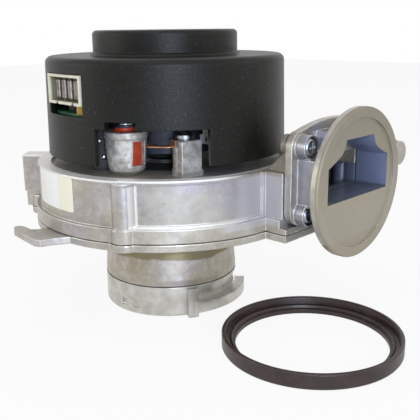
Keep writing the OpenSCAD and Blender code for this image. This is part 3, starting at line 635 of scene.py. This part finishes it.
coil = Shape("coil_windings", {"Wire radius": 0.00034, "Turns": 7, "Teeth": TEETH})
wire, turns, count = coil.inputs.values()
section = coil.node("GeometryNodeCurvePrimitiveCircle", {}, {"Resolution": 6, "Radius": wire})
layers = []
for layer in range(LAYERS):
    grown = wire * (4.0 * layer)
    outline = coil.node("GeometryNodeCurvePrimitiveQuadrilateral", {"mode": "RECTANGLE"},
                        {"Width": grown + inner_width, "Height": grown + inner_height})
    rounded = coil.node("GeometryNodeFilletCurve", {"mode": "POLY"},
                        {"Curve": outline, "Count": 4, "Radius": CORNER_RADIUS, "Limit Radius": True})
    tube = coil.node("GeometryNodeCurveToMesh", {}, {"Curve": rounded, "Profile Curve": section})
    # every second layer lies in the grooves of the one below, so it starts later and has one turn less
    odd = layer % 2
    row = coil.node("GeometryNodeMeshLine", {"mode": "OFFSET"},
                    {"Count": turns - odd,
                     "Start Location": coil.place(z=wire * odd + COIL_START),
                     "Offset": coil.place(z=wire * TURN_STEP)})
    layers.append(coil.copies(row, tube))
# the turns were drawn flat: stand them up, so that their row runs outwards along X
stood = coil.moved(coil.joined(*layers), (0, 0, core_middle), (math.pi / 2, 0, math.pi / 2))
on_axis = coil.node("GeometryNodeMeshLine", {"mode": "OFFSET"}, {"Count": count, "Offset": (0, 0, 0)})
about = coil.node("GeometryNodeInputIndex", {}) * (2 * math.pi / TEETH)
coils = coil.copies(on_axis, stood, coil.place(z=about))
windings = add_piece("coil_windings", coil.mesh(coils, FINISHES["copper"]), "copper")
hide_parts("stator_coils")

# %% [markdown]
# A blank sticker sits on the scroll's wall. It is a sheet bent once, so only its columns need to
# follow the wall: each column runs straight up from the lower edge to the upper edge, and the columns
# near the two ends are shorter by the corner's arc. The wall is two arcs that meet in front, and each
# is given by its radius and by how far its centre lies from the motor's axis along Y. A Shrinkwrap
# modifier could find the wall too, but a formula gives it exactly.

# %% Label
LABEL_LEFT, LABEL_RIGHT = -0.0252, 0.0060
LABEL_BOTTOM, LABEL_TOP = 0.0552, 0.0703
LABEL_CORNER, CORNER_STEPS, MIDDLE_STEPS = 0.0013, 6, 30
LABEL_BACK, LABEL_FRONT = 0.00004, 0.00016
WALL_LEFT = (0.0628, 0.0015)
WALL_RIGHT = (0.0613, 0.0)


def on_wall(along, out):
    """A point `along` the wall from its front, and `out` from its face."""
    radius, centre_y = WALL_LEFT if along < 0 else WALL_RIGHT
    angle = along / radius - math.pi / 2
    return (radius + out) * math.cos(angle), centre_y + (radius + out) * math.sin(angle)


def label_columns():
    """Places along the wall, close together at the two rounded ends."""
    corner = [LABEL_CORNER * (1 - math.cos(math.pi / 2 * i / CORNER_STEPS)) for i in range(CORNER_STEPS + 1)]
    start, length = LABEL_LEFT + LABEL_CORNER, LABEL_RIGHT - LABEL_LEFT - 2 * LABEL_CORNER
    middle = [start + length * i / MIDDLE_STEPS for i in range(1, MIDDLE_STEPS)]
    return [LABEL_LEFT + c for c in corner] + middle + [LABEL_RIGHT - c for c in reversed(corner)]


def build_label(bm):
    rings = []
    for along in label_columns():
        inset = max(0, LABEL_CORNER - min(along - LABEL_LEFT, LABEL_RIGHT - along))
        short = LABEL_CORNER - math.sqrt(max(0, LABEL_CORNER ** 2 - inset ** 2))
        low, high = LABEL_BOTTOM + short, LABEL_TOP - short
        corners = ((LABEL_BACK, low), (LABEL_FRONT, low), (LABEL_FRONT, high), (LABEL_BACK, high))
        rings.append([bm.verts.new((*on_wall(along, out), z)) for out, z in corners])
    for left, right in zip(rings, rings[1:]):
        for i in range(4):
            bm.faces.new((left[i], right[i], right[i - 1], left[i - 1]))
    bm.faces.new(rings[0])
    bm.faces.new(rings[-1])


# %% [markdown]
# The label's paper has aged: its right part is yellow, with a ragged border, and a faint round spot
# sits at its left. It carries no print.

# %% Label paper
YELLOW_X = (-0.0050, -0.0036)
SPOT = ((-0.0230, -0.0640, 0.0600), (-0.0180, -0.0500, 0.0650))


def label_finish():
    f = Finish("label_paper")
    ragged = f.axis("X") + (f.noise(0.008) - 0.5) * 0.004
    aged = f.between(ragged, *YELLOW_X) * 0.55 + f.inside(*SPOT, 0.0025) * 0.25
    fibre = f.noise(0.0012, 4.0, 0.6)
    paper = f.blend(f.between(fibre, 0.3, 0.8), rgb(232, 231, 224), rgb(242, 241, 236))
    paper = f.blend(aged, paper, rgb(226, 216, 172))
    f.set(Base_Color=paper, Roughness=0.45 + fibre * 0.1, Normal=f.bump(fibre, 0.00001, 0.4))
    return f.material


add_piece("label", from_bmesh("label", build_label), "ivory", finish=label_finish())

# %% [markdown]
# Flat stampings are all made one way: an outline, with holes if it has them, is filled, pushed out to
# its thickness, and its edges are broken a little. A plate stands upright, so its plane is given by its
# foot and by the direction of its right. Only edges that turn by more than CORNER_ANGLE are broken.

# %% Plates
CORNER_ANGLE = math.radians(57.3)


def plate(bm, outline, holes, origin, right, thickness, bevel):
    """A flat plate. `outline` and `holes` are (right, up) points from `origin`."""
    right = Vector(right).normalized()
    back = Vector((0, 0, 1)).cross(right)
    edges = []
    for loop in [outline] + holes:
        ring = [bm.verts.new(Vector(origin) + right * u + Vector((0, 0, v))) for u, v in loop]
        edges += [bm.edges.new((ring[i - 1], ring[i])) for i in range(len(ring))]
    bmesh.ops.triangle_fill(bm, use_beauty=True, use_dissolve=True, edges=edges)
    front = list(bm.faces)
    pushed = bmesh.ops.extrude_face_region(bm, geom=front)["geom"]
    moved = [v for v in pushed if isinstance(v, bmesh.types.BMVert)]
    bmesh.ops.translate(bm, verts=moved, vec=back * thickness)
    rims = [e for e in bm.edges if len(e.link_faces) == 2 and e.calc_face_angle(0) > CORNER_ANGLE]
    bmesh.ops.bevel(bm, geom=rims, offset=bevel, segments=2, affect="EDGES", clamp_overlap=True)


def round_hole(u, v, radius, corners=16):
    angles = [2 * math.pi * i / corners for i in range(corners)]
    return [(u + radius * math.cos(a), v + radius * math.sin(a)) for a in angles]


# %% [markdown]
# A dark moulded clip stands on the deck, under the board. Such a clip most likely keeps the motor's
# wires together. It is one plate, with a slot cut into its right edge and its two upper corners off.

# %% Wire clip
CLIP_FOOT = Vector((-0.0040, -0.0423, RECESS_Z - 0.0001))
CLIP_RIGHT = (0.728, 0.686, 0.0)
CLIP_WIDTH, CLIP_TALL, CLIP_THICK, CLIP_CHAMFER = 0.0072, 0.0188, 0.0022, 0.0015
SLOT_LOW, SLOT_HIGH, SLOT_DEEP = 0.0085, 0.0105, 0.0016


def build_clip(bm):
    slot_end = CLIP_WIDTH - SLOT_DEEP
    outline = [(0, 0), (CLIP_WIDTH, 0), (CLIP_WIDTH, SLOT_LOW), (slot_end, SLOT_LOW + 0.0003),
               (slot_end, SLOT_HIGH), (CLIP_WIDTH, SLOT_HIGH + 0.0004),
               (CLIP_WIDTH, CLIP_TALL - CLIP_CHAMFER), (CLIP_WIDTH - CLIP_CHAMFER, CLIP_TALL),
               (CLIP_CHAMFER, CLIP_TALL), (0, CLIP_TALL - CLIP_CHAMFER)]
    plate(bm, outline, [], CLIP_FOOT, CLIP_RIGHT, CLIP_THICK, 0.0003)


add_piece("wire_clip", from_bmesh("wire_clip", build_clip), "dark_plastic")

# %% [markdown]
# Two bright rivets hold the clip. A rivet's head is a flattened ball, half sunk in the clip, and a line
# of two points carries the copies. The two places are given from the clip's foot.

# %% Clip rivets
RIVET_HIGH = CLIP_FOOT + Vector((0.0022, 0.0023, 0.0130))
RIVET_LOW = CLIP_FOOT + Vector((0.0038, 0.0031, 0.0058))
rivet = Shape("clip_rivets", {"Head radius": 0.0012, "Head height": 0.0007})
head_radius, head_height = rivet.inputs.values()
ball = rivet.node("GeometryNodeMeshUVSphere", {}, {"Segments": 20, "Rings": 10, "Radius": 1.0})
flattened = rivet.place(head_radius, head_height, head_radius)
dome = rivet.node("GeometryNodeTransform", {}, {"Geometry": ball, "Scale": flattened})
toward_front = (0, 0, math.atan2(CLIP_RIGHT[1], CLIP_RIGHT[0]))
two = rivet.node("GeometryNodeMeshLine", {"mode": "END_POINTS"},
                 {"Count": 2, "Start Location": RIVET_HIGH, "Offset": RIVET_LOW})
rivet_mesh = rivet.mesh(rivet.copies(two, dome, toward_front), FINISHES["steel"])
add_piece("clip_rivets", rivet_mesh, "steel")

# %% [markdown]
# The tab beside the earth screw looks like a blade for a push-on terminal: a flat tinned tongue with a
# hole for the terminal's dimple, on a narrow neck that hangs from the motor's bracket. Its outline is
# drawn as the right half and mirrored in code, so that it stays even.

# %% Earth tab
TAB_FOOT = (EARTH_POST.x + 0.0001, EARTH_POST.y + 0.0123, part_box("motor_bracket")[1].z - 0.0100)
BLADE_HALF, BLADE_TALL, BLADE_CHAMFER = 0.00315, 0.0040, 0.0006
NECK_HALF, NECK_TOP = 0.0014, 0.0092
TAB_THICK, TAB_BEVEL = 0.0008, 0.00012
DIMPLE_HOLE = (0.0004, 0.0021, 0.0008)


def build_tab(bm):
    half = [(BLADE_HALF - BLADE_CHAMFER, 0), (BLADE_HALF, BLADE_CHAMFER), (BLADE_HALF, BLADE_TALL),
            (NECK_HALF, BLADE_TALL + 0.0004), (NECK_HALF, NECK_TOP)]
    outline = half + [(-u, v) for u, v in reversed(half)]
    plate(bm, outline, [round_hole(*DIMPLE_HOLE)], TAB_FOOT, (1, 0, 0), TAB_THICK, TAB_BEVEL)


# Tinned metal with painted light: the tin is nearly white and barely metallic, so that the tab stays bright
# in the cap's shade.
tinned_lit_finish = plain_finish("tinned_brass_lit", (232, 232, 230), (246, 246, 244), 0.1, 0.38, edge=0.0002)
add_piece("earth_tab", from_bmesh("earth_tab", build_tab), "zinc", finish=tinned_lit_finish)

# %% [markdown]
# Inside the plug's mouth stand five contacts, one in each way: strips of tinned metal bent into a half
# round that bulges towards the mating plug. One strip is a flat section swept along a half circle. A
# line of five points carries the copies. It is laid out as if the plug faced along X, and the whole row
# is then turned to face as the plug does.

# %% Contact springs
WAYS, WAY_PITCH = 5, 0.005
SPRING_REACH = PLUG_FRONT - 0.0038
SPRING_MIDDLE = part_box("header_contacts")[1].z - 0.0005
spring = Shape("contact_springs", {"Bend radius": 0.0012, "Thickness": 0.0004, "Height": 0.0076,
                                   "Ways": WAYS})
bend, thick, tall, ways = spring.inputs.values()
path = spring.node("GeometryNodeCurveArc", {"mode": "RADIUS"},
                   {"Resolution": 12, "Radius": bend, "Start Angle": -math.pi / 2, "Sweep Angle": math.pi})
strip = spring.node("GeometryNodeCurvePrimitiveQuadrilateral", {"mode": "RECTANGLE"},
                    {"Width": thick, "Height": tall})
leaf = spring.node("GeometryNodeCurveToMesh", {},
                   {"Curve": path, "Profile Curve": strip, "Fill Caps": True})
first_way = (SPRING_REACH, -(WAYS - 1) / 2 * WAY_PITCH, SPRING_MIDDLE)
row = spring.node("GeometryNodeMeshLine", {"mode": "OFFSET"},
                  {"Count": ways, "Start Location": first_way, "Offset": (0, WAY_PITCH, 0)})
facing = spring.moved(spring.copies(row, leaf), (0, 0, 0), (0, 0, PLUG_TURN))
spring_finish = plain_finish("aged_tin", (104, 94, 84), (142, 132, 126), 0.55, 0.34, 0.003, 0.0002)
spring_mesh = spring.mesh(facing, spring_finish)
add_piece("contact_springs", spring_mesh, "zinc", finish=spring_finish)

# %% [markdown]
# Under the circuit board, every component leg ends in a small cone of solder. The cones hang from three
# circles of points, turned a little against each other so that they don't line up.

# %% Solder joints
RING_RADII, RING_TURN = (0.0360, 0.0425, 0.0490), 0.09
solder = Shape("solder_joints", {"Joint radius": 0.00075, "Joint height": 0.0006, "Joints": 26})
joint_radius, joint_height, joints = solder.inputs.values()
cone = solder.node("GeometryNodeMeshCone", {},
                   {"Vertices": 8, "Side Segments": 2, "Radius Top": joint_radius * 0.35,
                    "Radius Bottom": joint_radius, "Depth": joint_height})
hanging = solder.moved(cone, (0, 0, 0), (math.pi, 0, 0))
rings = []
for number, radius in enumerate(RING_RADII):
    ring = solder.node("GeometryNodeMeshCircle", {}, {"Vertices": joints, "Radius": radius})
    rings.append(solder.moved(ring, (0, 0, board_low.z), (0, 0, RING_TURN * number)))
joints_mesh = solder.mesh(solder.copies(solder.joined(*rings), hanging), FINISHES["zinc"])
add_piece("solder_joints", joints_mesh, "zinc")

# %% [markdown]
# The fan stands on a wide pale floor. To the camera, and in what metal mirrors, the floor is nearly
# plain white: a Light Path node tells those rays from the light that falls on the fan. A tenth of the
# floor's own paper stays in the mix, and it keeps a soft shadow under the fan.

# %% Floor
def seen_directly(tree):
    """1 where the camera looks, straight or through a reflection, and 0 for the light that falls."""
    rays = [add(tree, "ShaderNodeLightPath", out=name)
            for name in ("Is Camera Ray", "Is Glossy Ray", "Is Transmission Ray")]
    return add(tree, "ShaderNodeMath", {"operation": "ADD", "use_clamp": True},
               {0: rays[0] + rays[1], 1: rays[2]})


FLOOR_SIZE, FLOOR_GAP, FLOOR_WHITE = 4.0, 0.0002, 0.9
floor_mesh = bpy.data.meshes.new("floor")
half = FLOOR_SIZE / 2
corners = [(-half, -half, 0), (half, -half, 0), (half, half, 0), (-half, half, 0)]
floor_mesh.from_pydata(corners, [], [(0, 1, 2, 3)])
floor = new_object("floor", floor_mesh)
floor.location.z = cad_low.z - FLOOR_GAP

floor_look = bpy.data.materials.new("floor")
floor_look.use_nodes = True
floor_tree = floor_look.node_tree
floor_tree.nodes.clear()
seen = seen_directly(floor_tree)
paper = add(floor_tree, "ShaderNodeBsdfDiffuse", {}, {"Color": rgb(232, 231, 229)})
glow = add(floor_tree, "ShaderNodeEmission", {}, {"Color": (1, 1, 1, 1), "Strength": 1.0})
floor_mix = add(floor_tree, "ShaderNodeMixShader", {}, {0: seen * FLOOR_WHITE, 1: paper, 2: glow})
floor_out = floor_tree.nodes.new("ShaderNodeOutputMaterial")
floor_tree.links.new(floor_mix.socket, floor_out.inputs["Surface"])
floor_mesh.materials.append(floor_look)
print("floor:", FLOOR_SIZE, "m wide, at height", round(floor.location.z, 4))

# %% [markdown]
# The world lights the fan from all around. One even white would make its forms look flat, so the sky
# is pale above and greyer towards the sides and below. The camera, and what metal mirrors, see plain
# white instead.

# %% World
SKY_STOPS = [(0.0, (0.30, 0.30, 0.31, 1)), (0.45, (0.58, 0.58, 0.60, 1)), (1.0, (0.95, 0.95, 0.95, 1))]
SKY_STRENGTH = 0.70
world = bpy.data.worlds.new("studio")
bpy.context.scene.world = world
world.use_nodes = True
sky = world.node_tree
sky.nodes.clear()
direction = add(sky, "ShaderNodeTexCoord", out="Generated")
height = add(sky, "ShaderNodeSeparateXYZ", {}, {0: direction}, out="Z")
shade = add(sky, "ShaderNodeValToRGB", {"stops": SKY_STOPS}, {"Fac": height})
studio = add(sky, "ShaderNodeBackground", {}, {"Color": shade, "Strength": SKY_STRENGTH})
white = add(sky, "ShaderNodeBackground", {}, {"Color": (1, 1, 1, 1), "Strength": 1.0})
sky_mix = add(sky, "ShaderNodeMixShader", {}, {0: seen_directly(sky), 1: studio, 2: white})
sky_out = sky.nodes.new("ShaderNodeOutputWorld")
sky.links.new(sky_mix.socket, sky_out.inputs["Surface"])
print("the sky has", len(SKY_STOPS), "tones")

# %% [markdown]
# Four broad lamps do the rest: a big key lamp high above the fan, a tall bluish one in front on the
# right, which gives the cap its upright sheen, one from the left for the castings' wall, and a weak one
# from the far right for the disc. All aim at the middle of the fan. Each line gives a lamp's name,
# place, width and height, power in watts, and colour.

# %% Lamps
LAMPS = [
    ("key", (0.15, -0.35, 1.15), (0.75, 0.75), 2.3, (1.0, 0.98, 0.95)),
    ("front", (0.86, -0.62, 0.28), (0.24, 0.60), 9.2, (0.70, 0.81, 1.0)),
    ("side", (-0.62, -0.80, 0.30), (0.50, 0.50), 2.0, (1.0, 0.98, 0.95)),
    ("fill", (0.95, 0.55, 0.45), (0.60, 0.60), 1.4, (1.0, 0.98, 0.95)),
]
LAMP_AIM = Vector((0.015, 0.01, 0.06))
for name, place, size, power, colour in LAMPS:
    lamp = bpy.data.objects.new(name, bpy.data.lights.new(name, "AREA"))
    lamp.data.shape = "RECTANGLE"
    lamp.data.size, lamp.data.size_y = size
    lamp.data.energy = power
    lamp.data.color = colour
    lamp.location = place
    lamp.rotation_euler = (LAMP_AIM - Vector(place)).to_track_quat("-Z", "Y").to_euler()
    bpy.context.scene.collection.objects.link(lamp)
print("lamps:", [lamp[0] for lamp in LAMPS])

# %% [markdown]
# The Standard view transform shows a colour as it is written. Blender's usual one holds back bright
# tones, and the white background would turn grey.

# %% Colour management
bpy.context.scene.view_settings.view_transform = "Standard"
print("view transform:", bpy.context.scene.view_settings.view_transform)
